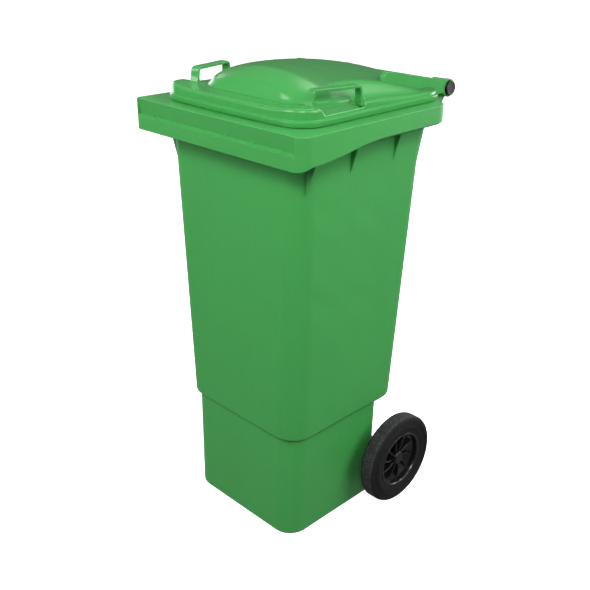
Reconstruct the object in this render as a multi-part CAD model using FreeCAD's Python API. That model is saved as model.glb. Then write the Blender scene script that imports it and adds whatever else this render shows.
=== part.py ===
"""Two-wheeled wheelie bin of about 80 litres, in millimetres.

X runs across the bin, Y from the comb at the front (-) to the hinge at the rear (+), Z up.
The origin is on the ground, under the middle of the whole object.
Each function makes one moulded or turned piece, and every piece is written to its own STEP file.
"""
import FreeCAD, Part
import math
import os

V = FreeCAD.Vector
X_AXIS = V(1, 0, 0)
Z_AXIS = V(0, 0, 1)
SIDES = {"left": -1, "right": 1}

# Driving dimensions of the whole bin
DEPTH = 524.0               # front of the comb to the back of the hinge eyes
FRONT = -DEPTH / 2
WALL = 4.0                  # wall of the bin moulding
FIT = 0.05                  # radial clearance of a running fit
GAP = 0.3                   # clearance between pieces that move past each other
WIDE = 260.0                # more than half the bin's width
TALL = 1000.0               # more than the bin's height
SINK = 2.0                  # how far a joined piece reaches into its neighbour

# Comb rim, moulded round the top of the bin
RIM_TOP = 867.4
RIM_HALF_FRONT = 226.0
RIM_HALF_REAR = 219.0
RIM_REAR = 142.0
RIM_CORNER_FRONT = 15.0
RIM_CORNER_REAR = 34.0
SKIRT_FRONT_BOTTOM = 806.5
SKIRT_REAR_BOTTOM = 834.5
SKIRT_CURVE = ((14.0, 0.02), (68.0, 0.42), (135.0, 0.72), (200.0, 0.97), (240.0, 1.0))  # back from the front, rise
BAND_BOTTOM = 836.0         # ledge under the recessed upper band of the front face
BAND_DEPTH_LOW = 7.0
BAND_DEPTH_TOP = 2.0
COMB_RIB_XS = (-175.0, -105.0, -35.0, 35.0, 105.0, 175.0)
RIB = 3.0
GUSSET_YS = (-201.0, -92.0, 28.0)
GUSSET_TIPS = (750.0, 761.0, 763.0)
GUSSET_OUT = 15.0           # how far a gusset stands out where it meets the skirt
GUSSET_THICK = 4.0
GUSSET_LOW = 840.5          # where a gusset's outer edge leaves the skirt

# Tub: half widths and front and rear faces at its levels
STEP = 237.0
FLARE_START = 754.0
FLARE_END = 817.0
TUB_STEP = dict(half=164.5, front=-216.0, rear=104.0, corner=48.0, corner_rear=46.0)
TUB_FLARE = dict(half=180.0, front=-219.5, rear=124.0, corner=36.0, corner_rear=36.0)
TUB_TOP = dict(half=183.0, front=-220.0, rear=136.0, corner=34.0, corner_rear=34.0)
FOOT_TOP = dict(half=156.0, front=-208.0, rear=53.0, corner=44.0, corner_rear=20.0)
FOOT_BASE = dict(half=153.0, front=-211.0, rear=50.0, corner=44.0, corner_rear=20.0)
STEP_ROUND = 6.0
FLOOR = 10.0                # top of the tub's floor
BASE_RECESS = 6.0
BASE_RING = 26.0

# Axle and the lugs that hold it behind the foot
AXLE_Y = 65.0
AXLE_Z = 100.0
AXLE_R = 10.0
AXLE_HALF = 208.0
LUG_R = 17.0
LUG_ROOT = 34.0             # half height of a lug where it leaves the foot
OUTER_LUG = (112.0, 126.0)
INNER_LUG = (40.0, 47.0)

# Wheels
WHEEL_R = 100.0
WHEEL_IN = 183.0
WHEEL_OUT = 221.0
RIM_SEAT_R = 62.0
RIM_BARREL_R = 57.0
TREAD_HALF = 11.0
SHOULDER = 9.0
SIDEWALL_DISH = 2.5
WEB = 3.0                   # flat disc that closes the back of the wheel's dish
WEB_IN = 188.0
SPOKES = 10
SPOKE = 2.6
SPOKE_OUT = 207.0
SPOKE_LEAN = 32.0           # degrees that a spoke turns round the hub on its way out
SPOKE_BOW = 0.05
HUB_R = 14.0
HUB_IN = 178.0
HUB_OUT = 212.0
SPACER_R = 13.0

# Spring catch that snaps each wheel onto a groove in the axle
GROOVE_IN = 190.0
GROOVE_OUT = 198.0
GROOVE_DEPTH = 2.0
CATCH_HALF = 3.7
CATCH_TOP = 17.5
POCKET_TOP = 26.0
POCKET_IN = 186.0
LUG_WALL = 2.6
SPRING_R = 2.6
SPRING_WIRE = 0.8
SPRING_TURNS = 4.5
SPRING_STEPS = 10           # straight runs in one turn of the spring
WIRE_FACETS = 8
RIGHT_CORNER = 1            # mitred corners between the runs

# Hinge, rear brackets and handle
HINGE_Y = 244.0
HINGE_Z = 872.5
EYE_R = 18.0
PIN_R = 7.0
PIN_HEAD_R = 14.5
PIN_HEAD = 4.0
PIN_INNER = 60.0
BRACKET_IN = 100.0
BRACKET_OUT = 128.0
HANDLE_R = 14.0
BRACKET_EYE_R = 17.0
BRACKET_OUTLINE = ((118, 866.4), (188, 864), (214, 871), (236, 887.5), (252, 856.5), (235, 832), (188, 824),
                   (136, 806), (118, 790))
BRACKET_POCKET = ((138, 859.4), (186, 859), (222, 868), (222, 800), (138, 780))

# Lid
LID_BOTTOM = 868.6
LIP = 11.0
LIP_STEP = 3.5
LID_EDGE = dict(half=192.5, half_rear=188.0, front=-232.5, rear=185.0, corner=46.0, corner_rear=64.0)
LID_WALL = 3.5
SHOULDER_ROUND = 11.0
DECK_FRONT = 895.5          # height of the flat deck at its front and rear edges
DECK_REAR = 883.0
CROWN_TOP = 940.3
CROWN_PEAK_Y = -77.3
CROWN_ACROSS = 20.0 / 128.0 ** 2
CROWN_FORWARD = 28.3 / 100.0 ** 2
CROWN_BACK = 6.41 / 100.0 ** 2
DOME_LOW = dict(z=880.0, half=170.0, front=-184.0, rear=184.5, corner=80.0, corner_rear=12.0)
DOME_HIGH = dict(z=945.0, half=103.0, front=-152.0, rear=182.5, corner=45.0, corner_rear=8.0)
ABOVE_DECK = 920.0          # any height above the deck
ARM_IN = 130.0
ARM_OUT = 142.0
ARM_OUTLINE = ((36, 900), (38, 920), (44, 925.5), (50, 925), (183, 898.5), (242, 890.4), (244, 872.5),
               (236, 859.5), (222, 865), (184, 865), (178, 880), (100, 880))
STRAP = 4.5                 # thickness of a handle's strap
STRAP_WIDE = 19.0
STRAP_HALF = 48.0           # half length of a handle at its feet
STRAP_FOOT = (168.5, -125.0)    # middle of the right handle
STRAP_SPLAY = 12.0          # degrees that a handle turns outward towards the rear
STRAP_BASE = 878.0
STRAP_TOP = 923.0
STRAP_SLANT = 5.0           # how far a post leans in on its way up
STRAP_BEND = 6.0
SCOOP_FRONT = -170.0
SCOOP_REAR = -78.0
SCOOP_IN = 166.0
SCOOP_DROP = 13.0
BUFFER_YS = (-150.0, 80.0)
BUFFER_LONG = 16.0
BUFFER_DEEP = 8.0
BUFFER_HIGH = 9.0
BUFFER_ROUND = 2.5
PIN_HEAD_ROUND = 1.8
CHAMFER = 1.5
CATCH_SIDE_GAP = 0.4


def box(x0, x1, y0, y1, z0, z1):
    """An upright box between two corners."""
    return Part.makeBox(x1 - x0, y1 - y0, z1 - z0, V(x0, y0, z0))


def across(x0, x1, y, z, radius):
    """A cylinder along X."""
    return Part.makeCylinder(radius, x1 - x0, V(x0, y, z), X_AXIS)


def profile_x(points, x0, x1):
    """A polygon in the YZ plane, drawn out along X."""
    corners = [V(x0, y, z) for y, z in points]
    wire = Part.makePolygon(corners + corners[:1])
    return Part.Face(wire).extrude(V(x1 - x0, 0, 0))


def rounded_wire(corners):
    """A closed wire through corners (point, radius), with an arc at each corner."""
    starts = []
    arcs = []
    count = len(corners)
    for index, (point, radius) in enumerate(corners):
        before = corners[index - 1][0] - point
        after = corners[(index + 1) % count][0] - point
        before.normalize()
        after.normalize()
        half_angle = before.getAngle(after) / 2
        run = radius / math.tan(half_angle)
        middle = before + after
        middle.normalize()
        nearest = point + middle * (radius / math.sin(half_angle) - radius)
        starts.append((point + before * run, point + after * run))
        arcs.append(Part.Arc(point + before * run, nearest, point + after * run).toShape())
    edges = []
    for index in range(count):
        edges.append(arcs[index])
        leave = starts[index][1]
        arrive = starts[(index + 1) % count][0]
        edges.append(Part.makeLine(leave, arrive))
    return Part.Wire(edges)


def plan(z, half, front, rear, corner, half_rear=None, corner_rear=None, inset=0.0):
    """The four-sided rounded outline of a level, moved in by inset all round."""
    half_rear = half if half_rear is None else half_rear
    corner_rear = corner if corner_rear is None else corner_rear
    near = max(corner - inset, 1.0)
    far = max(corner_rear - inset, 1.0)
    y0 = front + inset
    y1 = rear - inset
    return rounded_wire([
        (V(-half + inset, y0, z), near),
        (V(half - inset, y0, z), near),
        (V(half_rear - inset, y1, z), far),
        (V(-half_rear + inset, y1, z), far),
    ])


def prism(wire, height):
    """A closed wire drawn straight up."""
    return Part.Face(wire).extrude(V(0, 0, height))


def between(low, high):
    """A straight-sided solid from one outline to another."""
    return Part.makeLoft([low, high], True, True)


def mirrored(shape):
    """The same shape on the other side of the bin."""
    return shape.mirror(V(0, 0, 0), X_AXIS)


def both_sides(shape):
    """A shape on the right and its mirror image on the left."""
    return [shape, mirrored(shape)]


# Bin body

def level(sizes, z, inset=0.0):
    """Outline of the tub at a height."""
    return plan(z, inset=inset, **sizes)


def blended(low, high, share):
    """Tub sizes part of the way from one level to another."""
    return {name: low[name] + (high[name] - low[name]) * share for name in low}


def tub_outside():
    """Outer shape of the tub: the foot, the wider upper part and its flare."""
    foot = between(level(FOOT_BASE, 0), level(FOOT_TOP, STEP + 1))
    upper = between(level(TUB_STEP, STEP), level(TUB_FLARE, FLARE_START))
    lowest = [edge for edge in upper.Edges if edge.BoundBox.ZMax < STEP + 0.01]
    upper = upper.makeFillet(STEP_ROUND, lowest)
    flare = between(level(TUB_FLARE, FLARE_START), level(TUB_TOP, FLARE_END))
    collar = prism(level(TUB_TOP, FLARE_END), RIM_TOP - FLARE_END)
    return foot.fuse([upper, flare, collar])


def tub_inside():
    """Inner shape of the tub, open above the rim."""
    share = (STEP + WALL) / (FLARE_START - STEP) - STEP / (FLARE_START - STEP)
    ledge = blended(TUB_STEP, TUB_FLARE, share)
    foot = between(level(FOOT_BASE, FLOOR, WALL), level(FOOT_TOP, STEP + WALL + 1, WALL))
    upper = between(level(ledge, STEP + WALL, WALL), level(TUB_FLARE, FLARE_START, WALL))
    flare = between(level(TUB_FLARE, FLARE_START, WALL), level(TUB_TOP, FLARE_END, WALL))
    collar = prism(level(TUB_TOP, FLARE_END, WALL), RIM_TOP - FLARE_END + 2 * WALL)
    return foot.fuse([upper, flare, collar])


def skirt_cutter():
    """Everything under the skirt's lower edge, which is deep at the front and sweeps up the sides."""
    rise = SKIRT_REAR_BOTTOM - SKIRT_FRONT_BOTTOM
    front = FRONT - 5
    rear = RIM_REAR + 5
    points = [V(-WIDE, front, SKIRT_FRONT_BOTTOM)]
    points += [V(-WIDE, FRONT + back, SKIRT_FRONT_BOTTOM + share * rise) for back, share in SKIRT_CURVE]
    curve = Part.BSplineCurve()
    curve.interpolate(points)
    corners = [points[-1], V(-WIDE, rear, SKIRT_REAR_BOTTOM), V(-WIDE, rear, STEP), V(-WIDE, front, STEP), points[0]]
    edges = [curve.toShape()] + Part.makePolygon(corners).Edges
    return Part.Face(Part.Wire(edges)).extrude(V(2 * WIDE, 0, 0))


def rim_plan(z, inset=0.0, front_extra=0.0):
    """Outline of the comb rim at a height."""
    return plan(z, RIM_HALF_FRONT, FRONT + front_extra, RIM_REAR, RIM_CORNER_FRONT,
                half_rear=RIM_HALF_REAR, corner_rear=RIM_CORNER_REAR, inset=inset)


def rim():
    """Comb rim: a flat top, a hanging skirt, ribs across the hollow and the front band."""
    outer = prism(rim_plan(STEP), RIM_TOP - STEP)
    outer = outer.cut(skirt_cutter())
    inner_top = RIM_TOP - WALL
    low = prism(rim_plan(STEP, WALL), BAND_BOTTOM - WALL - STEP)
    high = prism(rim_plan(BAND_BOTTOM - WALL - 1, WALL, BAND_DEPTH_LOW),
                 inner_top - BAND_BOTTOM + WALL + 1)
    shell = outer.cut(low.fuse(high))
    band = profile_x([(FRONT - 1, BAND_BOTTOM), (FRONT + BAND_DEPTH_LOW, BAND_BOTTOM),
                      (FRONT + BAND_DEPTH_TOP, RIM_TOP + 0.1), (FRONT - 1, RIM_TOP + 0.1)], -WIDE, WIDE)
    ribs = [box(x - RIB / 2, x + RIB / 2, FRONT + SINK, TUB_TOP["front"] + SINK,
                SKIRT_FRONT_BOTTOM + 3 * SINK, RIM_TOP - SINK) for x in COMB_RIB_XS]
    comb = Part.makeCompound(ribs).common(outer)
    return shell.fuse(comb.Solids).cut(band)


def gusset(y, tip):
    """Triangular web between the tub's side and the skirt, running down to a point."""
    root = TUB_FLARE["half"] - SINK
    share = (y - FRONT) / (RIM_REAR - FRONT)
    skirt = RIM_HALF_FRONT + (RIM_HALF_REAR - RIM_HALF_FRONT) * share - WALL / 2
    start = y - GUSSET_THICK / 2
    outline = [(root, tip), (root, RIM_TOP - SINK), (skirt, RIM_TOP - SINK), (skirt, GUSSET_LOW),
               (TUB_TOP["half"] + GUSSET_OUT, FLARE_END)]
    corners = [V(x, start, z) for x, z in outline]
    wire = Part.makePolygon(corners + corners[:1])
    return Part.Face(wire).extrude(V(0, GUSSET_THICK, 0))


def bracket():
    """Hollow bracket that carries the handle and one hinge pin behind the rim."""
    plate = profile_x(BRACKET_OUTLINE, BRACKET_IN, BRACKET_OUT)
    eye = across(BRACKET_IN, BRACKET_OUT, HINGE_Y, HINGE_Z, BRACKET_EYE_R)
    hollow = profile_x(BRACKET_POCKET, BRACKET_IN + WALL, BRACKET_OUT - WALL)
    return plate.cut(hollow).fuse(eye)


def axle_lug(inner, outer):
    """Rounded lug that reaches back from the foot round the axle."""
    root = FOOT_BASE["rear"] - WALL
    boss = across(inner, outer, AXLE_Y, AXLE_Z, LUG_R)
    outline = [(root, AXLE_Z + LUG_ROOT), (AXLE_Y + LUG_R * 0.6, AXLE_Z + LUG_R * 0.8),
               (AXLE_Y + LUG_R * 0.6, AXLE_Z - LUG_R * 0.8), (root, AXLE_Z - LUG_ROOT)]
    return boss.fuse(profile_x(outline, inner, outer))


def bin_body():
    """The whole bin moulding: tub, foot, comb rim, gussets, brackets, handle and axle lugs."""
    recess = prism(level(FOOT_BASE, -1, BASE_RING), BASE_RECESS + 1)
    outside = tub_outside().cut(recess)
    extras = [rim()]
    for y, tip in zip(GUSSET_YS, GUSSET_TIPS):
        extras += both_sides(gusset(y, tip))
    extras += both_sides(bracket())
    extras.append(across(-BRACKET_IN - 1, BRACKET_IN + 1, HINGE_Y, HINGE_Z, HANDLE_R))
    for lug in (OUTER_LUG, INNER_LUG):
        extras += both_sides(axle_lug(*lug))
    body = outside.fuse(extras)
    holes = [across(-BRACKET_OUT - 1, BRACKET_OUT + 1, HINGE_Y, HINGE_Z, PIN_R + FIT),
             across(-OUTER_LUG[1] - 1, OUTER_LUG[1] + 1, AXLE_Y, AXLE_Z, AXLE_R + FIT)]
    body = body.cut([tub_inside()] + holes)
    return body.removeSplitter()


# Lid

def lid_plan(z, inset=0.0):
    """Outline of the lid's edge at a height."""
    return plan(z, inset=inset, **LID_EDGE)


def deck_height(y):
    """Height of the sloping deck."""
    share = (y - LID_EDGE["front"]) / (LID_EDGE["rear"] - LID_EDGE["front"])
    return DECK_FRONT + (DECK_REAR - DECK_FRONT) * share


def above_deck(drop):
    """Everything above the sloping deck plane, lowered by drop."""
    front = FRONT - 20
    rear = DEPTH / 2
    points = [(front, deck_height(front) - drop), (rear, deck_height(rear) - drop), (rear, TALL), (front, TALL)]
    return profile_x(points, -WIDE, WIDE)


def crown_height(x, y):
    """Height of the domed top: a shallow arch across, falling faster forward than back."""
    away = y - CROWN_PEAK_Y
    fall = CROWN_FORWARD if away < 0 else CROWN_BACK
    return CROWN_TOP - CROWN_ACROSS * x * x - fall * away * away


def under_crown(drop):
    """Solid below the domed surface, lowered by drop."""
    xs = [-200.0 + 50.0 * step for step in range(9)]
    ys = [-227.3 + 25.0 * step for step in range(19)]
    grid = [[V(x, y, crown_height(x, y) - drop) for y in ys] for x in xs]
    surface = Part.BSplineSurface()
    surface.interpolate(grid)
    return surface.toShape().extrude(V(0, 0, -160))


def dome(inset):
    """Raised middle of the lid with its sloping sides and domed top."""
    low = dict(DOME_LOW)
    high = dict(DOME_HIGH)
    wires = [plan(sizes.pop("z"), inset=inset, **sizes) for sizes in (low, high)]
    return between(*wires).common(under_crown(inset))


def lid_outside():
    """Outer skin of the lid: lip, filleted shoulder, sloping deck and dome."""
    base = prism(lid_plan(LID_BOTTOM, LIP_STEP), ABOVE_DECK - LID_BOTTOM).cut(above_deck(0.0))
    shoulder = [edge for edge in base.Edges if edge.BoundBox.ZMin > LID_BOTTOM + LIP]
    base = base.makeFillet(SHOULDER_ROUND, shoulder)
    lip = prism(lid_plan(LID_BOTTOM), LIP)
    return base.fuse([lip, dome(0.0)])


def lid_inside():
    """Hollow under the lid, one wall thickness inside its outer skin."""
    room = prism(lid_plan(LID_BOTTOM - 1, LIP_STEP + LID_WALL), CROWN_TOP - LID_BOTTOM)
    base = room.cut(above_deck(LID_WALL))
    return base.fuse(dome(LID_WALL).common(room)).cut(both_sides(scoop(LID_WALL)))


def scoop(depth):
    """Wedge over the sloping floor of the finger recess beside a handle, moved down and in by depth."""
    z = deck_height(SCOOP_FRONT) - depth
    edge = LID_EDGE["half"] + 1
    corners = [V(SCOOP_IN - depth, SCOOP_FRONT - depth, z + 1), V(edge, SCOOP_FRONT - depth, z - SCOOP_DROP),
               V(edge, SCOOP_FRONT - depth, z + 30), V(SCOOP_IN - depth, SCOOP_FRONT - depth, z + 30)]
    face = Part.Face(Part.makePolygon(corners + corners[:1]))
    return face.extrude(V(0, SCOOP_REAR - SCOOP_FRONT + 2 * depth, 0))


def strap_handle():
    """Loop handle bent from one flat strap, which turns outward towards the rear of the lid."""
    def loop(half, top):
        shoulder = half - STRAP_SLANT
        corner = shoulder - STRAP_BEND
        return [(-half, STRAP_BASE), (-shoulder, top - STRAP_BEND), (-corner, top), (corner, top),
                (shoulder, top - STRAP_BEND), (half, STRAP_BASE)]

    strap = profile_x(loop(STRAP_HALF, STRAP_TOP), -STRAP_WIDE / 2, STRAP_WIDE / 2)
    strap = strap.cut(profile_x(loop(STRAP_HALF - STRAP, STRAP_TOP - STRAP), -STRAP_WIDE, STRAP_WIDE))
    strap.rotate(V(0, 0, 0), Z_AXIS, -STRAP_SPLAY)
    strap.translate(V(STRAP_FOOT[0], STRAP_FOOT[1], 0))
    return strap


def hinge_arm():
    """Rail on the dome's side that runs back to a hinge eye."""
    rail = profile_x(ARM_OUTLINE, ARM_IN, ARM_OUT)
    eye = across(ARM_IN, ARM_OUT, HINGE_Y, HINGE_Z, EYE_R)
    return rail.fuse(eye)


def lid():
    """The lid moulding: skin, lip, dome, finger recesses, handles and hinge arms."""
    inside = lid_inside()
    shell = lid_outside().cut(both_sides(scoop(0.0)) + [inside])
    extras = both_sides(strap_handle()) + both_sides(hinge_arm())
    solid = shell.fuse([piece.cut(inside) for piece in extras])
    bore = across(-ARM_OUT - 1, ARM_OUT + 1, HINGE_Y, HINGE_Z, PIN_R + FIT)
    return solid.cut(bore).removeSplitter()


def lid_buffers():
    """Four rubber stops inside the lid's edge that meet the rim."""
    length = LID_EDGE["rear"] - LID_EDGE["front"]
    taper = (LID_EDGE["half"] - LID_EDGE["half_rear"]) / length
    solids = []
    for y in BUFFER_YS:
        y_rear = y + BUFFER_LONG / 2
        wall = LID_EDGE["half"] - taper * (y_rear - LID_EDGE["front"]) - LIP_STEP - LID_WALL
        block = box(wall - BUFFER_DEEP, wall, y_rear - BUFFER_LONG, y_rear, RIM_TOP + GAP, RIM_TOP + BUFFER_HIGH)
        upright = [edge for edge in block.Edges if edge.BoundBox.ZLength > BUFFER_HIGH / 2]
        solids += both_sides(block.makeFillet(BUFFER_ROUND, upright))
    return Part.makeCompound(solids)


def hinge_pin(side):
    """Plastic pin with a domed head, pushed through a lid eye into the end of the handle."""
    head_in = ARM_OUT + GAP
    head = across(head_in, head_in + PIN_HEAD, HINGE_Y, HINGE_Z, PIN_HEAD_R)
    rim_edge = [edge for edge in head.Edges if edge.BoundBox.XMin > head_in + PIN_HEAD - 0.01]
    head = head.makeFillet(PIN_HEAD_ROUND, rim_edge)
    shank = across(PIN_INNER, head_in + 0.5, HINGE_Y, HINGE_Z, PIN_R)
    tip = [edge for edge in shank.Edges if edge.BoundBox.XMax < PIN_INNER + 0.01]
    pin = head.fuse(shank.makeChamfer(CHAMFER, tip)).removeSplitter()
    return pin if side > 0 else mirrored(pin)


# Axle and wheels

def axle():
    """Steel bar with a groove near each end."""
    bar = across(-AXLE_HALF, AXLE_HALF, AXLE_Y, AXLE_Z, AXLE_R)
    ends = [edge for edge in bar.Edges if edge.BoundBox.XLength < 0.01]
    bar = bar.makeChamfer(CHAMFER, ends)
    for side in SIDES.values():
        ends = sorted((side * GROOVE_IN, side * GROOVE_OUT))
        ring = across(ends[0], ends[1], AXLE_Y, AXLE_Z, AXLE_R + 2)
        bar = bar.cut(ring.cut(across(ends[0], ends[1], AXLE_Y, AXLE_Z, AXLE_R - GROOVE_DEPTH)))
    return bar


def turned(points):
    """Solid of revolution about the axle, from (x, radius) points."""
    corners = [V(x, AXLE_Y, AXLE_Z + radius) for x, radius in points]
    face = Part.Face(Part.makePolygon(corners + corners[:1]))
    return face.revolve(V(0, AXLE_Y, AXLE_Z), X_AXIS, 360)


def tyre():
    """Solid rubber tyre with a flat tread, rounded shoulders and dished sidewalls."""
    middle = (WHEEL_IN + WHEEL_OUT) / 2
    half = (WHEEL_OUT - WHEEL_IN) / 2

    def at(sign, out, radius):
        return V(middle + sign * out, AXLE_Y, AXLE_Z + radius)

    edges = [Part.makeLine(at(-1, TREAD_HALF, WHEEL_R), at(1, TREAD_HALF, WHEEL_R)),
             Part.makeLine(at(1, half - SIDEWALL_DISH, RIM_SEAT_R), at(-1, half - SIDEWALL_DISH, RIM_SEAT_R))]
    for sign in SIDES.values():
        shoulder = at(sign, half, WHEEL_R - SHOULDER)
        bend = at(sign, half - SHOULDER * 0.32, WHEEL_R - SHOULDER * 0.3)
        edges.append(Part.Arc(at(sign, TREAD_HALF, WHEEL_R), bend, shoulder).toShape())
        belly = at(sign, half, (WHEEL_R + RIM_SEAT_R) / 2)
        edges.append(Part.Arc(shoulder, belly, at(sign, half - SIDEWALL_DISH, RIM_SEAT_R)).toShape())
    face = Part.Face(Part.Wire(Part.__sortEdges__(edges)))
    return face.revolve(V(0, AXLE_Y, AXLE_Z), X_AXIS, 360)


def spoke(angle):
    """Thin curved spoke from the hub to the barrel, at an angle round the wheel."""
    lean = math.radians(SPOKE_LEAN)
    reach = RIM_BARREL_R + 1
    foot = V(0, 0, HUB_R - 1.5)
    middle = V(0, SPOKE_BOW * reach, reach / 2)
    tip = V(0, reach * math.sin(lean), reach * math.cos(lean))
    half = V(0, SPOKE / 2, 0)
    half_tip = V(0, SPOKE / 2 * math.cos(2 * lean), -SPOKE / 2 * math.sin(2 * lean))
    edges = [Part.Arc(foot + half, middle + half, tip + half_tip).toShape(),
             Part.makeLine(tip + half_tip, tip - half_tip),
             Part.Arc(tip - half_tip, middle - half, foot - half).toShape(),
             Part.makeLine(foot - half, foot + half)]
    blade = Part.Face(Part.Wire(edges)).extrude(V(SPOKE_OUT - WEB_IN, 0, 0))
    blade.translate(V(WEB_IN, AXLE_Y, AXLE_Z))
    blade.rotate(V(0, AXLE_Y, AXLE_Z), X_AXIS, angle)
    return blade


def wheel_rim():
    """Moulded wheel: barrel, back web, curved spokes, hub and the catch housing."""
    lip = SIDEWALL_DISH
    barrel = turned([(WHEEL_IN + lip, RIM_BARREL_R), (WHEEL_OUT - lip, RIM_BARREL_R),
                     (WHEEL_OUT - lip, RIM_SEAT_R), (WHEEL_IN + lip, RIM_SEAT_R)])
    web = turned([(WEB_IN, HUB_R - 2), (WEB_IN + WEB, HUB_R - 2),
                  (WEB_IN + WEB, RIM_BARREL_R + 1), (WEB_IN, RIM_BARREL_R + 1)])
    hub = across(HUB_IN, HUB_OUT, AXLE_Y, AXLE_Z, HUB_R)
    housing_half = CATCH_HALF + CATCH_SIDE_GAP + LUG_WALL
    housing = box(POCKET_IN, GROOVE_OUT + LUG_WALL, AXLE_Y - housing_half, AXLE_Y + housing_half,
                  AXLE_Z + AXLE_R, AXLE_Z + POCKET_TOP + LUG_WALL)
    step = 360.0 / SPOKES
    spokes = [spoke(step * (index + 0.5)) for index in range(SPOKES)]
    body = barrel.fuse([web, hub, housing] + spokes)
    pocket_half = CATCH_HALF + CATCH_SIDE_GAP
    pocket = box(POCKET_IN - 1, GROOVE_OUT + 0.1, AXLE_Y - pocket_half, AXLE_Y + pocket_half,
                 AXLE_Z, AXLE_Z + POCKET_TOP)
    bore = across(HUB_IN - 1, HUB_OUT + 1, AXLE_Y, AXLE_Z, AXLE_R + FIT)
    return body.cut([pocket, bore]).removeSplitter()


def wheel_catch():
    """Small plate that drops into the axle groove and holds the wheel on."""
    low = AXLE_Z + AXLE_R - GROOVE_DEPTH + 0.4
    plate = box(GROOVE_IN + GAP, GROOVE_OUT - GAP, AXLE_Y - CATCH_HALF, AXLE_Y + CATCH_HALF,
                low, AXLE_Z + CATCH_TOP)
    upright = [edge for edge in plate.Edges if edge.BoundBox.ZLength > 5]
    return plate.makeFillet(0.8, upright)


def catch_spring():
    """Coil spring that pushes the catch into the groove, its wire drawn with flat facets."""
    low = CATCH_TOP + SPRING_WIRE / 2 + FIT
    height = POCKET_TOP - CATCH_TOP - SPRING_WIRE - 2 * FIT
    count = round(SPRING_TURNS * SPRING_STEPS)
    path = []
    for index in range(count + 1):
        angle = 2 * math.pi * index / SPRING_STEPS
        path.append(V(SPRING_R * math.cos(angle), SPRING_R * math.sin(angle), height * index / count))
    along = (path[1] - path[0]).normalize()
    out = along.cross(Z_AXIS).normalize()
    up = out.cross(along)
    ring = []
    for corner in range(WIRE_FACETS):
        angle = 2 * math.pi * corner / WIRE_FACETS
        ring.append(path[0] + (out * math.cos(angle) + up * math.sin(angle)) * (SPRING_WIRE / 2))
    section = Part.makePolygon(ring + ring[:1])
    coil = Part.makePolygon(path).makePipeShell([section], True, False, RIGHT_CORNER)
    coil.translate(V((GROOVE_IN + GROOVE_OUT) / 2, AXLE_Y, AXLE_Z + low))
    return coil


def hub_cap():
    """Plastic cap pressed into the hub's outer end."""
    disc = across(HUB_OUT, HUB_OUT + 3, AXLE_Y, AXLE_Z, HUB_R - 1)
    edge = [item for item in disc.Edges if item.BoundBox.XMin > HUB_OUT + 2.9]
    plug = across(AXLE_HALF + 1, HUB_OUT + 0.5, AXLE_Y, AXLE_Z, AXLE_R)
    return disc.makeFillet(1.2, edge).fuse(plug).removeSplitter()


def axle_spacer():
    """Plastic sleeve on the axle between a body lug and a wheel hub."""
    inside = OUTER_LUG[1] + GAP
    outside = HUB_IN - GAP
    sleeve = across(inside, outside, AXLE_Y, AXLE_Z, SPACER_R)
    return sleeve.cut(across(inside - 1, outside + 1, AXLE_Y, AXLE_Z, AXLE_R + FIT))


def write(name, shape):
    """Save one piece under its name and say what it is."""
    shape.exportStep("parts/" + name + ".step")
    box_size = shape.BoundBox
    print(f"{name:20s} solids {len(shape.Solids)} valid {shape.isValid()} volume {shape.Volume / 1000:.1f} cm3 "
          f"size {box_size.XLength:.1f} {box_size.YLength:.1f} {box_size.ZLength:.1f} top {box_size.ZMax:.1f}")


def main():
    os.makedirs("parts", exist_ok=True)
    write("bin_body", bin_body())
    write("lid", lid())
    write("lid_buffers", lid_buffers())
    write("axle", axle())
    for name, side in SIDES.items():
        write("hinge_pin_" + name, hinge_pin(side))
    for make in (tyre, wheel_rim, wheel_catch, catch_spring, hub_cap, axle_spacer):
        right = make()
        write(make.__name__ + "_right", right)
        write(make.__name__ + "_left", mirrored(right))


main()
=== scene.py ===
"""Looks of the wheelie bin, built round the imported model.

Shapes are worked out in millimetres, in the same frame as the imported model, and turned into metres
when each mesh is made. X runs across, Y from the comb at the front to the hinge at the rear, Z up.
"""
import math

import bmesh
import bpy
import numpy as np
from mathutils import Euler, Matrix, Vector


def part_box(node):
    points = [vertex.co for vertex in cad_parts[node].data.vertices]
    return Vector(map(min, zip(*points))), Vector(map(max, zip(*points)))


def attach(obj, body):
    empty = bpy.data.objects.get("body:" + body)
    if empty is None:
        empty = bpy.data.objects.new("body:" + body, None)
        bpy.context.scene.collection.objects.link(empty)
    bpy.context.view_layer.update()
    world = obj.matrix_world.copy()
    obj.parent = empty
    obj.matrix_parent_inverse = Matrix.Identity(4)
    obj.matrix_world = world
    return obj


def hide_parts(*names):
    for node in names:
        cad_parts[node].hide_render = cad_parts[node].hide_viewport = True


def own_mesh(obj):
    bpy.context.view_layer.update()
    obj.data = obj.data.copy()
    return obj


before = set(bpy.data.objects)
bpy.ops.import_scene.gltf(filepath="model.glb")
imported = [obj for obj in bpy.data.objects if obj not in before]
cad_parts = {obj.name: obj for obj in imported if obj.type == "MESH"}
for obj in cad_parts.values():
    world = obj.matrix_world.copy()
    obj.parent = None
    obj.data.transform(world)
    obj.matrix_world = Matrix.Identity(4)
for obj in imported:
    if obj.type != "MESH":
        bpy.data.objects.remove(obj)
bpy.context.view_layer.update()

MM = 0.001
STRAIGHT = math.radians(89.8)
FOLDED = math.radians(0.5)
SIDES = {"left": -1.0, "right": 1.0}

# Main levels and lines of the bin
FRONT = -262.0
RIM_TOP = 867.4
RIM_UNDERSIDE = 863.4
STEP = 237.0
FLARE_START = 754.0
FLARE_END = 817.0
FLOOR = 10.0
WALL = 4.0
HINGE_Y = 244.0
HINGE_Z = 872.5
AXLE_Y = 65.0
AXLE_Z = 100.0

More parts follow.
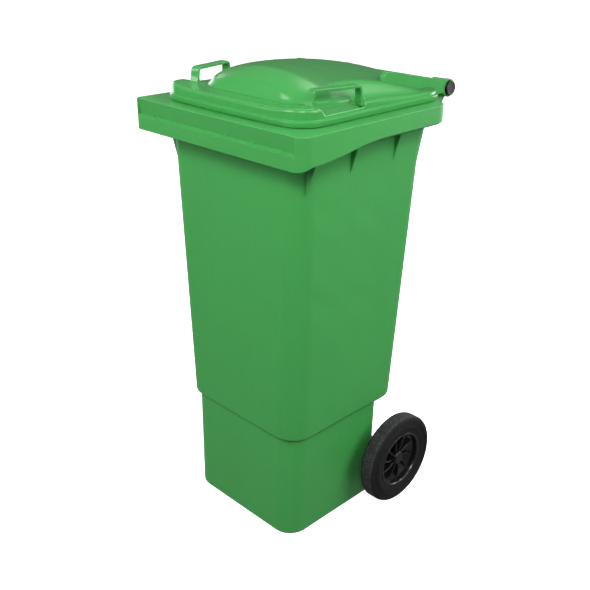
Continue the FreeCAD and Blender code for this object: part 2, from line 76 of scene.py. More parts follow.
# Plans of the bin at its levels: half width in front, half width behind, front, rear, corner radii
RIM = (226.0, 219.0, FRONT, 142.0, (10.0, 24.0), 34.0)
TUB_TOP = (183.0, 183.0, -220.0, 136.0, 34.0, 34.0)
TUB_FLARE = (180.0, 180.0, -219.5, 124.0, 36.0, 36.0)
TUB_STEP = (164.5, 164.5, -216.0, 104.0, 48.0, 46.0)
FOOT_TOP = (156.0, 156.0, -208.0, 53.0, 44.0, 20.0)
FOOT_BASE = (153.0, 153.0, -211.0, 50.0, 44.0, 20.0)

# Skirt of the comb rim
SKIRT_LOW = 807.5
SKIRT_CORNER_RISE = 8.0
SKIRT_SIDE_RISE = 20.0
SKIRT_CORNER_RUN = 28.0
SKIRT_SIDE_RUN = 197.0
BAND_BOTTOM = 836.0
BAND_LOW = 7.0
BAND_TOP = 2.0
BAND_ENDS = (-219.0, 205.0)
BAND_LEDGE = (-2.0, 0.8)
# Webs under the skirt: each one's place along Y and the height of its lower tip
GUSSET_HALF = 2.0
GUSSETS = ((-201.0, 750.0), (-92.0, 761.0), (28.0, 763.0))
# Ribs behind the front skirt, by their place along X
COMB_RIBS = (-175.0, -105.0, -35.0, 35.0, 105.0, 175.0)
COMB_RIB_HALF = 1.5

# Waves in the tub's sides: where each zone starts and the run over which it comes in, and their heights
WAVE_FRONT = (-205.0, 30.0)
WAVE_REAR = (-30.0, 110.0)
WAVE_LOW = (330.0, 120.0)
WAVE_HIGH = (740.0, 60.0)
WAVE_OUT = (130.0, 25.0)
WAVE_FINE = 0.22
WAVE_MIDDLE = 0.45
WAVE_BROAD = 1.4

# Brackets, handle bar and pins on the hinge line, and lugs on the axle line
PIN_HOLE_R = 7.1
SEAT_R_OUT = 17.0
EYE_R = 18.0
BAR_HALF = 101.0
BAR_R = 14.0
BAR_HOLE_R = 9.0
LUG_FOOT_Y = 46.0
LUG_FOOT_HALF = 34.0
LUG_SHOULDER = 10.0
LUG_R = 17.0

# Lid
LID_BOTTOM = 868.6
LIP_TOP = 877.4
LIP_STEP = 4.3
LIP_RISE = 2.2
LID_WALL = 3.5
LID = (192.5, 188.0, -232.5, 185.0, 46.0, 64.0)
LID_BOW = 4.0
LID_BOW_RUN = 90.0
LID_BOW_HALF = 140.0
DECK_FRONT = 895.5
DECK_REAR = 883.0
DECK_SIDE_RISE = 4.0
DECK_RISE_ACROSS = (105.0, 65.0)
DECK_RISE_ENDS = (-60.0, 160.0)
SHOULDER = 7.0
SHOULDER_LEAST = 1.0
SHOULDER_GAP = 1.6
CROWN_TOP = 940.3
CROWN_PEAK_Y = -77.3
# Front edge along Y of the domed top's grained zone, whose colour is darkened as painted shade
CROWN_SHADE_FROM = -124.0
CROWN_ACROSS = 20.0 / 128.0 ** 2
CROWN_FORWARD = 28.3 / 100.0 ** 2
CROWN_BACK = 6.41 / 100.0 ** 2
DOME_LOW_Z = 880.0
DOME_HIGH_Z = 945.0
DOME_LOW = (170.0, -182.0, 184.5, 80.0, 12.0)
DOME_HIGH = (103.0, -150.0, 182.5, 45.0, 8.0)
RIDGE_SOFT = 2.6
BASE_SOFT = 3.2
SCOOP_FRONT = -166.0
SCOOP_REAR = -74.0
SCOOP_IN = 160.0
SCOOP_FLOOR = 889.5
SCOOP_EDGE = 883.4
SCOOP_SLOPE = 1.3
SCOOP_SOFT = 2.0
HANDLE_FOOT = (165.2, -121.0)
HANDLE_SPLAY = 13.0
HANDLE_BEND_R = 7.0
HANDLE_CORNER = 1.5
HANDLE_HALF_WIDE = 9.3
HANDLE_HALF_THICK = 2.7
HANDLE_FLARE = (0.4, 2.2)
HANDLE_FLARE_RUN = (8.0, 14.0)
RAIL_SPAN = (130.2, 142.0)
HANDLE_BENDS = ((-53.5, 884.0), (-48.0, 920.9), (48.0, 920.9), (52.0, 886.5))

# Wheel
WHEEL_R = 100.0
WHEEL_IN = 183.0
WHEEL_OUT = 221.0
SEAT_R = 62.0
BARREL_R = 57.0
HUB_R = 14.0
SPOKES = 10
SPOKE_LEAN = 14.0
SPOKE_FACE = 12.5
SPOKE_BULGE = 2.6
SPOKE_FALL = 3.0
SPOKE_BACK = 189.0
SPOKE_BACK_RISE = 8.0
SPOKE_BACK_RUN = (36.0, 20.0)
SPOKE_HALF = 1.35
SPOKE_ROOT = 0.5
TYRE_GROOVES = (13.0, 16.6, 20.2)
GROOVE_HALF = 1.1
GROOVE_DEEP = 1.2
CATCH_POCKET_TOP = 26.0
HOUSING_IN = 186.0
HOUSING_WALL = 2.2
HOUSING_CLEAR = 0.4
HOUSING_LAP = 0.5
HOUSING_SINK = 2.0
SPRING_WIRE = 0.8
SPRING_TURNS = 4.5

# Studio: lamps by azimuth from the front and elevation in degrees, distance and size in metres, and watts
PAPER_GLOW = 1.1
PAPER_PROFILE = ((25.0, 0.0), (32.0, 1.5), (36.0, 5.0), (38.0, 12.0), (38.0, 30.0), (30.0, 44.0),
                 (12.0, 52.0), (0.5, 53.0))
PAPER_SIDES = 64
SKY_GROUND = 0.16
SKY_LOW = 0.13
SKY_HIGH = 0.32
LAMP_AIM = Vector((0.0, 0.0, 0.5))
LAMPS = (
    ("front", -18.0, 34.0, 2.6, 1.6, 1.6, 52.0),
    ("side", 102.0, 34.0, 2.6, 1.6, 1.6, 49.0),
    ("key", 42.0, 36.0, 2.6, 0.6, 0.45, 27.0),
    ("dome_side", 148.0, 46.0, 2.6, 0.6, 0.4, 10.0),
    ("ridge", 215.0, 62.0, 2.8, 0.9, 0.5, 4.0),
    ("rear_right", 168.0, 10.0, 2.8, 1.4, 1.4, 36.0),
    ("rear_left", 268.0, 10.0, 2.8, 2.2, 1.6, 30.0),
)
LENS = 51.75
SENSOR_WIDTH = 36.0
CAMERA_REACH = 200.0
CAMERA_PLACE = (1.1491, -1.1978, 1.1902)
CAMERA_TURN = (65.790, -0.467, 45.220)


# Mesh helpers

def smooth_step(share):
    """0 below 0, 1 above 1, and a smooth rise between."""
    share = np.clip(share, 0.0, 1.0)
    return share * share * (3.0 - 2.0 * share)


def rise(value, zone):
    """A smooth rise from 0 to 1. The zone gives where it starts and over what run."""
    return smooth_step((value - zone[0]) / zone[1])


def span(sign, low, high):
    """The two ends of a stretch across X on one side, in rising order."""
    return sorted((sign * low, sign * high))


def mirrored(sign, profile):
    """A profile of (x, radius) on one side."""
    return [(sign * x, radius) for x, radius in profile]


def smooth_min(a, b, soft):
    """The lower of two heights, with the corner between them rounded off."""
    share = np.clip(0.5 + 0.5 * (b - a) / soft, 0.0, 1.0)
    return b * (1.0 - share) + a * share - soft * share * (1.0 - share)


def smooth_max(a, b, soft):
    """The higher of two heights, with the corner between them filled."""
    return -smooth_min(-a, -b, soft)


def outline(plan, inset=0.0, side=80, corner=16, even=False):
    """Points round a four-sided plan with rounded corners, from the front left corner, seen from above."""
    front_half, rear_half, front, rear, near, far = plan
    near_left, near_right = near if isinstance(near, tuple) else (near, near)
    corners = [(-front_half, front, near_left), (front_half, front, near_right),
               (rear_half, rear, far), (-rear_half, rear, far)]
    corners = [(x - math.copysign(inset, x), y + (inset if y == front else -inset), max(r - inset, 0.8))
               for x, y, r in corners]
    spread = np.arange(1, side) / side
    if not even:
        spread = (1.0 - np.cos(np.pi * spread)) / 2.0
    arcs = []
    for index, (x, y, radius) in enumerate(corners):
        point = np.array((x, y))
        before = np.array(corners[index - 1][:2]) - point
        after = np.array(corners[(index + 1) % 4][:2]) - point
        before /= np.linalg.norm(before)
        after /= np.linalg.norm(after)
        half = math.acos(float(before @ after)) / 2.0
        middle = (before + after) / np.linalg.norm(before + after)
        centre = point + middle * radius / math.sin(half)
        start = point + before * radius / math.tan(half) - centre
        turn = (math.pi - 2.0 * half) * np.linspace(0.0, 1.0, corner + 1)
        arcs.append(np.column_stack((centre[0] + start[0] * np.cos(turn) - start[1] * np.sin(turn),
                                     centre[1] + start[0] * np.sin(turn) + start[1] * np.cos(turn))))
    parts = []
    for index, arc in enumerate(arcs):
        parts.append(arc)
        leave = arc[-1]
        arrive = arcs[(index + 1) % 4][0]
        parts.append(leave + (arrive - leave) * spread[:, None])
    return np.vstack(parts)


def ring(points, z):
    """Plan points lifted to a height, or to one height for each point."""
    return np.column_stack((points, np.broadcast_to(z, len(points))))


def soften(stations, radii, steps=4):
    """Rounds the bends of a path of rings. Each ring is an array of points with one radius."""
    rings = []
    last = len(stations) - 1
    for index, (here, radius) in enumerate(zip(stations, radii)):
        if radius <= 0.0 or index in (0, last):
            rings.append(here)
            continue
        back = stations[index - 1] - here
        ahead = stations[index + 1] - here
        back_run = np.linalg.norm(back, axis=1, keepdims=True)
        ahead_run = np.linalg.norm(ahead, axis=1, keepdims=True)
        back = back / back_run
        ahead = ahead / ahead_run
        half = np.arccos(np.clip((back * ahead).sum(1, keepdims=True), -1.0, 1.0)) / 2.0
        straight = half > STRAIGHT
        half = np.clip(half, FOLDED, STRAIGHT)
        run = np.minimum(radius / np.tan(half), 0.45 * np.minimum(back_run, ahead_run))
        middle = back + ahead
        middle = middle / np.maximum(np.linalg.norm(middle, axis=1, keepdims=True), 1e-9)
        centre = here + middle * run / np.cos(half)
        begin = here + back * run - centre
        end = here + ahead * run - centre
        sweep = np.pi - 2.0 * half
        for share in np.linspace(0.0, 1.0, steps + 1):
            near = np.sin((1.0 - share) * sweep) * begin
            far = np.sin(share * sweep) * end
            rings.append(np.where(straight, here, centre + (near + far) / np.sin(sweep)))
    return rings


def between(rings, longest):
    """Adds rings wherever two neighbours are further apart than longest."""
    full = [rings[0]]
    for before, after in zip(rings, rings[1:]):
        gap = np.linalg.norm(after - before, axis=1).max()
        count = max(int(math.ceil(gap / longest)), 1)
        for step in range(1, count + 1):
            full.append(before + (after - before) * step / count)
    return full


def weight_normals(made):
    """Shades large faces flat up to their rounded edges."""
    weighted = made.modifiers.new("weighted", "WEIGHTED_NORMAL")
    weighted.keep_sharp = False


def round_edges(made, width, least_turn):
    """Rounds the edges that turn by more than an angle in degrees."""
    rounding = made.modifiers.new("rounding", "BEVEL")
    rounding.width = width * MM
    rounding.segments = 3
    rounding.limit_method = "ANGLE"
    rounding.angle_limit = math.radians(least_turn)


def piece(name, points, faces, body, shader, flat_edges=True):
    """Makes one object from points in millimetres, with outward normals, and sets it riding on a body."""
    mesh = bpy.data.meshes.new(name)
    mesh.from_pydata([tuple(p) for p in np.asarray(points) * MM], [], faces)
    work = bmesh.new()
    work.from_mesh(mesh)
    bmesh.ops.remove_doubles(work, verts=work.verts, dist=1e-6)
    bmesh.ops.recalc_face_normals(work, faces=work.faces)
    for face in work.faces:
        face.smooth = True
    work.to_mesh(mesh)
    work.free()
    mesh.materials.append(shader)
    made = bpy.data.objects.new(name, mesh)
    bpy.context.scene.collection.objects.link(made)
    if flat_edges:
        weight_normals(made)
    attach(made, body)
    return made


def ring_faces(count, rings, closed_path=False):
    """Quads between neighbouring rings of count points."""
    faces = []
    pairs = rings if closed_path else rings - 1
    for level in range(pairs):
        low = level * count
        high = ((level + 1) % rings) * count
        for index in range(count):
            after = (index + 1) % count
            faces.append((low + index, low + after, high + after, high + index))
    return faces


def end_caps(count, rings):
    """The faces that close the first and the last ring."""
    last = (rings - 1) * count
    return [tuple(range(count)), tuple(range(last, last + count))]


def lofted(name, rings, body, shader, capped=True):
    """A skin through rings of points, closed at both ends if capped."""
    count = len(rings[0])
    faces = ring_faces(count, len(rings))
    if capped:
        faces += end_caps(count, len(rings))
    return piece(name, np.vstack(rings), faces, body, shader)


def turned(name, profile, radii, body, shader, centre=(AXLE_Y, AXLE_Z), closed=True, segments=144):
    """Solid of revolution about a line along X. The profile lists (x, radius) and may be a closed loop."""
    stations = [np.array([[x, radius, 0.0]]) for x, radius in profile]
    radii = list(radii)
    if closed:
        stations = [(stations[0] + stations[-1]) / 2.0] + stations + [(stations[0] + stations[-1]) / 2.0]
        radii = [0.0] + radii + [0.0]
    path = np.vstack(soften(stations, radii))
    if closed:
        path = path[:-1]
    angles = np.linspace(0.0, 2.0 * np.pi, segments, endpoint=False)
    rings = []
    for x, radius, _ in path:
        rings.append(np.column_stack((np.full(segments, x), centre[0] + radius * np.sin(angles),
                                      centre[1] + radius * np.cos(angles))))
    faces = ring_faces(segments, len(rings), closed)
    return piece(name, np.vstack(rings), faces, body, shader)


def plate(name, outline_yz, radii, x0, x1, body, slot, shader, bevel=1.2):
    """A flat plate across X with a rounded outline in the YZ plane and bevelled edges."""
    stations = [np.array([[0.0, y, z]]) for y, z in outline_yz]
    start = (stations[0] + stations[-1]) / 2.0
    path = np.vstack(soften([start] + stations + [start], [0.0] + list(radii) + [0.0]))[:-1]
    count = len(path)
    near = path + np.array((x0, 0.0, 0.0))
    far = path + np.array((x1, 0.0, 0.0))
    faces = ring_faces(count, 2) + end_caps(count, 2)
    made = piece(name, np.vstack((near, far)), faces, body, shader, flat_edges=False)
    round_edges(made, bevel, 50.0)
    weight_normals(made)
    return made


def bin_plate(name, outline_yz, radii, ends, bevel=1.2):
    """A plate of the bin's own moulding."""
    return plate(name, outline_yz, radii, *ends, "bin", "green_plastic", BODY_GREEN, bevel)


# Materials

def nodes_of(shader):
    """A material's nodes and links."""
    return shader.node_tree.nodes, shader.node_tree.links


def noise_node(nodes, links, place, scale, detail=3.0, roughness=0.5):
    """Smooth noise from 0 to 1 at a place."""
    made = nodes.new("ShaderNodeTexNoise")
    made.inputs["Scale"].default_value = scale
    made.inputs["Detail"].default_value = detail
    made.inputs["Roughness"].default_value = roughness
    links.new(place, made.inputs["Vector"])
    return made.outputs["Fac"]


def ramp_node(nodes, links, source, low, high, low_value, high_value):
    """A value mapped from one range to another, clamped."""
    made = nodes.new("ShaderNodeMapRange")
    made.inputs["From Min"].default_value = low
    made.inputs["From Max"].default_value = high
    made.inputs["To Min"].default_value = low_value
    made.inputs["To Max"].default_value = high_value
    links.new(source, made.inputs["Value"])
    return made.outputs["Result"]


def math_node(nodes, links, operation, *inputs):
    """The result of a named operation on its inputs. Each input is a number or a socket."""
    made = nodes.new("ShaderNodeMath")
    made.operation = operation
    for socket, value in zip(made.inputs, inputs):
        if isinstance(value, float):
            socket.default_value = value
        else:
            links.new(value, socket)
    return made.outputs[0]


def mix_node(nodes, links, share, first, second, blend="MIX"):
    """Mixes two colours by a share. Each colour is a tuple or a socket."""
    made = nodes.new("ShaderNodeMix")
    made.data_type = "RGBA"
    made.blend_type = blend
    if isinstance(share, float):
        made.inputs["Factor"].default_value = share
    else:
        links.new(share, made.inputs["Factor"])
    for socket, colour in ((made.inputs[6], first), (made.inputs[7], second)):
        if isinstance(colour, tuple):
            socket.default_value = colour
        else:
            links.new(colour, socket)
    return made.outputs[2]


def bump_node(nodes, links, height, distance, strength=1.0, below=None):
    """A surface direction bent by a height, on top of the one below."""
    made = nodes.new("ShaderNodeBump")
    made.inputs["Strength"].default_value = strength
    made.inputs["Distance"].default_value = distance
    links.new(height, made.inputs["Height"])
    if below is not None:
        links.new(below, made.inputs["Normal"])
    return made.outputs["Normal"]


def new_shader(name):
    """An empty material, its shader node and the object's own coordinates."""
    shader = bpy.data.materials.new(name)
    shader.use_nodes = True
    nodes, links = nodes_of(shader)
    surface = nodes["Principled BSDF"]
    place = nodes.new("ShaderNodeTexCoord").outputs["Object"]
    return shader, nodes, links, surface, place


def scaled(colour, factor):
    """A colour made lighter or darker, with full opacity."""
    return tuple(min(channel * factor, 1.0) for channel in colour) + (1.0,)


def moulded_plastic(name, colour, gloss, grain, shine, mottle=0.05, ribs=False, crown_grain_and_shade=False):
    """Injection-moulded plastic: cloudy colour, fine grain, faint flow lines and light scuffs. Optionally the
    lid's domed top gets a grained, rougher zone whose colour is darkened as painted shade.
    """
    shader, nodes, links, surface, place = new_shader(name)
    cloud = noise_node(nodes, links, place, scale=7.0, detail=4.0)
    tint = mix_node(nodes, links, cloud, scaled(colour, 1.0 - mottle), scaled(colour, 1.0 + mottle))
    stretch = nodes.new("ShaderNodeMapping")
    stretch.inputs["Scale"].default_value = (60.0, 60.0, 2.5)
    links.new(place, stretch.inputs["Vector"])
    flow = noise_node(nodes, links, stretch.outputs["Vector"], scale=1.0, detail=2.0)
    tint = mix_node(nodes, links, ramp_node(nodes, links, flow, 0.45, 0.8, 0.0, 0.35), tint,
                    scaled(colour, 1.0 + 1.6 * mottle))
    scuffs = noise_node(nodes, links, place, scale=38.0, detail=9.0, roughness=0.72)
    scuffed = ramp_node(nodes, links, scuffs, 0.66, 0.78, 0.0, 0.22)
    tint = mix_node(nodes, links, scuffed, tint, scaled(colour, 1.25))
    rough = ramp_node(nodes, links, scuffs, 0.3, 0.8, gloss, gloss + 0.14)
    # The domed top: real grain and extra roughness, and its colour darkened to 0.60-0.72 of the green as
    # painted shade where the top turns away from the light
    if crown_grain_and_shade:
        zone = nodes.new("ShaderNodeAttribute")
        zone.attribute_name = "crown"
        grainy = noise_node(nodes, links, place, scale=420.0, detail=3.0)
        grain_with_painted_shade = mix_node(nodes, links, grainy, scaled(colour, 0.60), scaled(colour, 0.72))
        tint = mix_node(nodes, links, zone.outputs["Fac"], tint, grain_with_painted_shade)
        rough = math_node(nodes, links, "MULTIPLY_ADD", zone.outputs["Fac"], 0.24, rough)
    links.new(tint, surface.inputs["Base Color"])
    surface.inputs["Specular IOR Level"].default_value = shine
    links.new(rough, surface.inputs["Roughness"])
    fine = noise_node(nodes, links, place, scale=1400.0, detail=2.0)
    peel = noise_node(nodes, links, place, scale=95.0, detail=2.0)
    normal = bump_node(nodes, links, fine, 0.00012 * grain)
    normal = bump_node(nodes, links, peel, 0.0002 * grain, below=normal)
    if ribs:
        normal = bump_node(nodes, links, comb_lines(nodes, links, place), 0.00016, below=normal)
    links.new(normal, surface.inputs["Normal"])
    return shader


def comb_lines(nodes, links, place):
    """Fine upright lines pressed through the front band by the ribs behind it."""
    parts = nodes.new("ShaderNodeSeparateXYZ")
    links.new(place, parts.inputs["Vector"])
    wave = math_node(nodes, links, "PINGPONG", parts.outputs["X"], 5.6 * MM)
    line = ramp_node(nodes, links, wave, 0.0, 1.1 * MM, 1.0, 0.0)
    in_front = ramp_node(nodes, links, parts.outputs["Y"], (FRONT + 12.0) * MM, (FRONT + 40.0) * MM, 1.0, 0.0)
    high = ramp_node(nodes, links, parts.outputs["Z"], 838.0 * MM, 841.0 * MM, 0.0, 1.0)
    return math_node(nodes, links, "MULTIPLY", math_node(nodes, links, "MULTIPLY", line, in_front), high)


def tyre_rubber():
    """Matt black rubber with pale crumbs pressed in, grey with dust on the tread."""
    shader, nodes, links, surface, place = new_shader("tyre_rubber")
    from_axle = nodes.new("ShaderNodeMapping")
    from_axle.inputs["Location"].default_value = (0.0, -AXLE_Y * MM, -AXLE_Z * MM)
    from_axle.inputs["Scale"].default_value = (0.0, 1.0, 1.0)
    links.new(place, from_axle.inputs["Vector"])
    radius = nodes.new("ShaderNodeVectorMath")
    radius.operation = "LENGTH"
    links.new(from_axle.outputs["Vector"], radius.inputs[0])
    tread_from = (WHEEL_R - 2.6) * MM
    tread_full = (WHEEL_R - 0.9) * MM
    on_tread = ramp_node(nodes, links, radius.outputs["Value"], tread_from, tread_full, 0.0, 1.0)
    crumbs = nodes.new("ShaderNodeTexVoronoi")
    crumbs.inputs["Scale"].default_value = 150.0
    links.new(place, crumbs.inputs["Vector"])
    patches = noise_node(nodes, links, place, scale=55.0, detail=6.0, roughness=0.7)
    dusty = ramp_node(nodes, links, patches, 0.36, 0.66, 0.35, 1.0)
    wall = mix_node(nodes, links, dusty, (0.0042, 0.0042, 0.0044, 1.0), (0.0090, 0.0090, 0.0093, 1.0))
    tread = mix_node(nodes, links, dusty, (0.012, 0.012, 0.0125, 1.0), (0.038, 0.038, 0.039, 1.0))
    tint = mix_node(nodes, links, on_tread, wall, tread)
    speck = ramp_node(nodes, links, crumbs.outputs["Distance"], 0.10, 0.34, 0.6, 0.0)
    pale = mix_node(nodes, links, on_tread, (0.013, 0.013, 0.014, 1.0), (0.110, 0.110, 0.112, 1.0))
    tint = mix_node(nodes, links, speck, tint, pale)
    links.new(tint, surface.inputs["Base Color"])
    surface.inputs["Specular IOR Level"].default_value = 0.2
    links.new(ramp_node(nodes, links, patches, 0.3, 0.8, 0.62, 0.86), surface.inputs["Roughness"])
    fine = noise_node(nodes, links, place, scale=520.0, detail=5.0, roughness=0.7)
    normal = bump_node(nodes, links, fine, 0.0005)
    normal = bump_node(nodes, links, crumbs.outputs["Distance"], 0.0004, 0.6, below=normal)
    links.new(normal, surface.inputs["Normal"])
    return shader


def plated_steel():
    """Zinc-plated steel with drawn lines round it and dull patches."""
    shader, nodes, links, surface, place = new_shader("plated_steel")
    patches = noise_node(nodes, links, place, scale=60.0, detail=5.0)
    tint = mix_node(nodes, links, patches, (0.42, 0.43, 0.44, 1.0), (0.62, 0.63, 0.64, 1.0))
    links.new(tint, surface.inputs["Base Color"])
    surface.inputs["Metallic"].default_value = 1.0
    links.new(ramp_node(nodes, links, patches, 0.3, 0.75, 0.24, 0.46), surface.inputs["Roughness"])
    lines = nodes.new("ShaderNodeMapping")
    lines.inputs["Scale"].default_value = (4.0, 900.0, 900.0)
    links.new(place, lines.inputs["Vector"])
    drawn = noise_node(nodes, links, lines.outputs["Vector"], scale=1.0, detail=2.0)
    links.new(bump_node(nodes, links, drawn, 0.00008), surface.inputs["Normal"])
    return shader


GREEN = (0.046, 0.290, 0.064)
BLACK = (0.0065, 0.0065, 0.0068)
BODY_GREEN = moulded_plastic("body_green", GREEN, 0.34, 1.0, 0.32, ribs=True)
# The lid's green carries the grained domed top with painted shade
LID_GREEN = moulded_plastic("lid_green", scaled(GREEN, 0.98)[:3], 0.15, 0.4, 0.42, crown_grain_and_shade=True)
RIM_BLACK = moulded_plastic("rim_black", BLACK, 0.2, 0.4, 0.5, mottle=0.12)
CAP_BLACK = moulded_plastic("cap_black", scaled(BLACK, 0.8)[:3], 0.34, 0.8, 0.4, mottle=0.12)
PIN_BLACK = moulded_plastic("pin_black", scaled(BLACK, 0.7)[:3], 0.3, 1.0, 0.5, mottle=0.12)
TYRE = tyre_rubber()
STEEL = plated_steel()


# Bin moulding

def skirt_bottom(y):
    """Height of the skirt's lower edge: it lifts round the front corner and then sweeps up the side."""
    corner = rise(y, (FRONT, SKIRT_CORNER_RUN))
    side = rise(y, (FRONT + SKIRT_CORNER_RUN, SKIRT_SIDE_RUN))
    return SKIRT_LOW + SKIRT_CORNER_RISE * corner + SKIRT_SIDE_RISE * side


def band_cut(points, depth):
    """The front face pushed back to make the recessed band, which stops just short of both corners."""
    moved = points.copy()
    within = (points[:, 0] > BAND_ENDS[0]) & (points[:, 0] < BAND_ENDS[1])
    moved[:, 1] = np.where(within, np.maximum(points[:, 1], FRONT + depth), points[:, 1])
    return moved


def waviness(points):
    """Small hollows and swells that moulding leaves in the tub's tall sides, as an outward shift."""
    x, y, z = points.T
    along = rise(y, WAVE_FRONT) * (1.0 - rise(y, WAVE_REAR))
    high = rise(z, WAVE_LOW) * (1.0 - rise(z, WAVE_HIGH))
    swell = np.sin(z / 9.4 + 0.05 * y) * WAVE_FINE + np.sin(z / 15.1 + 1.3 + y / 25.0) * WAVE_MIDDLE
    broad = np.sin((y + 230.0) / 52.0) * WAVE_BROAD
    side = rise(np.abs(x), WAVE_OUT)
    return (swell * np.sin((y + 215.0) / 38.0) + broad) * along * high * side


def bin_moulding():
    """Tub, foot and comb rim as one closed skin, from the base up outside and back down inside."""
    def at(plan, z, inset=0.0):
        return ring(outline(plan, inset), z)

    rim_edge = outline(RIM)
    skirt_in = outline(RIM, WALL)
    low_edge = skirt_bottom(rim_edge[:, 1])
    low_edge_in = skirt_bottom(skirt_in[:, 1])
    band_in = BAND_LOW + WALL
    stations = [
        (at(FOOT_BASE, 6.0, 27.0), 1.0),
        (at(FOOT_BASE, 0.0, 25.0), 2.0),
        (at(FOOT_BASE, 0.0), 4.5),
        (at(FOOT_TOP, STEP), 2.0),
        (at(TUB_STEP, STEP), 6.0),
        (at(TUB_FLARE, FLARE_START), 160.0),
        (at(TUB_TOP, FLARE_END), 60.0),
        (at(TUB_TOP, RIM_UNDERSIDE), 3.0),
        (band_cut(ring(skirt_in, RIM_UNDERSIDE), band_in), 2.0),
        (band_cut(ring(skirt_in, BAND_BOTTOM - WALL), band_in), 1.0),
        (ring(skirt_in, BAND_BOTTOM - WALL - 1.0), 1.0),
        (ring(skirt_in, low_edge_in), 1.3),
        (ring(rim_edge, low_edge), 2.0),
        (ring(rim_edge, BAND_BOTTOM + BAND_LEDGE[0]), 0.8),
        (band_cut(ring(rim_edge, BAND_BOTTOM + BAND_LEDGE[1]), BAND_LOW), 0.8),
        (band_cut(ring(rim_edge, RIM_TOP), BAND_TOP), 2.0),
        (at(TUB_TOP, RIM_TOP, WALL), 3.0),
        (at(TUB_TOP, FLARE_END, WALL), 60.0),
        (at(TUB_FLARE, FLARE_START, WALL), 160.0),
        (at(TUB_STEP, STEP + WALL, WALL), 5.0),
        (at(FOOT_TOP, STEP + WALL, WALL), 4.0),
        (at(FOOT_BASE, FLOOR, WALL), 9.0),
        (at(FOOT_BASE, FLOOR, 40.0), 0.0),
    ]
    places, radii = zip(*stations)
    rings = between(soften(places, radii), 11.0)
    for points in rings:
        shift = waviness(points)
        points[:, 0] += np.sign(points[:, 0]) * shift
    made = lofted("bin_moulding", rings, "bin", BODY_GREEN)
    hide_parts("bin_body")


def gussets():
    """Triangular webs between the tub's sides and the skirt."""
    for side, sign in SIDES.items():
        for index, (y, tip) in enumerate(GUSSETS):
            outer = skirt_bottom(y) + 4.0
            share = (y - FRONT) / (RIM[3] - FRONT)
            reach = RIM[0] + (RIM[1] - RIM[0]) * share - WALL / 2.0
            section = np.array([(178.5, tip), (reach - 20.0, outer - 6.0), (reach, outer + 8.0),
                                (reach, 864.0), (178.5, 864.0)])
            count = len(section)
            near = np.column_stack((section[:, 0] * sign, np.full(count, y - GUSSET_HALF), section[:, 1]))
            far = near + np.array((0.0, 2.0 * GUSSET_HALF, 0.0))
            faces = ring_faces(count, 2) + end_caps(count, 2)
            web = piece(f"gusset_{side}_{index + 1}", np.vstack((near, far)), faces, "bin",
                        BODY_GREEN, flat_edges=False)
            round_edges(web, 0.9, 30.0)
            weight_normals(web)


def comb_ribs():
    """Upright ribs across the hollow behind the front skirt."""
    section = [(FRONT + 2.0, 813.0), (-218.0, 813.0), (-218.0, 865.0), (FRONT + 9.0, 865.0)]
    for index, x in enumerate(COMB_RIBS):
        bin_plate(f"comb_rib_{index + 1}", section, (1.0,) * 4, (x - COMB_RIB_HALF, x + COMB_RIB_HALF), 0.5)


def rear_brackets():
    """Hollow brackets behind the rim, with the handle bar and the pin seats between them."""
    top = [(118.0, 866.5), (188.0, 864.0), (214.0, 871.0), (236.0, 887.5)]
    bottom = [(252.0, 856.5), (235.0, 832.0), (188.0, 824.0), (136.0, 806.0), (118.0, 790.0)]
    radii = (1.0, 8.0, 14.0, 6.0, 6.0, 8.0, 20.0, 14.0, 1.0)
    web = top[:3] + [(222.0, 868.0), (216.0, 866.0), (188.0, 859.0), (118.0, 861.0)]
    for side, sign in SIDES.items():
        for part, low, high in (("inner", 100.0, 104.0), ("outer", 124.0, 128.0)):
            bin_plate(f"bracket_{side}_{part}", top + bottom, radii, span(sign, low, high))
        bin_plate(f"bracket_{side}_web", web, (1.0,) * 7, span(sign, 102.0, 126.0), 0.8)
        low, high = span(sign, 100.2, 127.8)
        seat = [(low, PIN_HOLE_R), (low, SEAT_R_OUT), (high, SEAT_R_OUT), (high, PIN_HOLE_R)]
        turned(f"bracket_{side}_seat", seat, (0.8, 1.5, 1.5, 0.8), "bin", BODY_GREEN,
               (HINGE_Y, HINGE_Z), segments=72)
    bar = [(-BAR_HALF, BAR_R), (BAR_HALF, BAR_R), (BAR_HALF, BAR_HOLE_R), (-BAR_HALF, BAR_HOLE_R)]
    turned("handle_bar", bar, (0.0,) * 4, "bin", BODY_GREEN, (HINGE_Y, HINGE_Z), segments=96)


def axle_lugs():
    """Rounded lugs that reach back from the foot round the axle."""
    section = [(LUG_FOOT_Y, AXLE_Z + LUG_FOOT_HALF), (AXLE_Y + LUG_SHOULDER, AXLE_Z + LUG_R),
               (AXLE_Y + LUG_R, AXLE_Z), (AXLE_Y + LUG_SHOULDER, AXLE_Z - LUG_R),
               (LUG_FOOT_Y, AXLE_Z - LUG_FOOT_HALF)]
    radii = (2.0, 12.0, 12.0, 12.0, 2.0)
    for side, sign in SIDES.items():
        for part, low, high in (("outer", 112.0, 126.0), ("inner", 40.0, 47.0)):
            bin_plate(f"axle_lug_{side}_{part}", section, radii, span(sign, low, high), 1.5)


# Lid

def deck_height(x, y):
    """Height of the sloping deck, which lifts a little towards its sides."""
    share = (y - LID[2]) / (LID[3] - LID[2])
    lift = DECK_SIDE_RISE * rise(np.abs(x), DECK_RISE_ACROSS) * (1.0 - rise(y, DECK_RISE_ENDS))
    return DECK_FRONT + (DECK_REAR - DECK_FRONT) * share + lift


def inside_of(x, y, share):
    """How far a point lies inside the dome's plan at a share of the way up its sloping sides."""
    half, front, rear, near, far = [low + (high - low) * share for low, high in zip(DOME_LOW, DOME_HIGH)]
    middle = (front + rear) / 2.0
    radius = np.where(y < middle, near, far)
    across = np.abs(x) - half + radius
    along = np.abs(y - middle) - (rear - front) / 2.0 + radius
    outside = np.hypot(np.maximum(across, 0.0), np.maximum(along, 0.0))
    return radius - outside - np.minimum(np.maximum(across, along), 0.0)


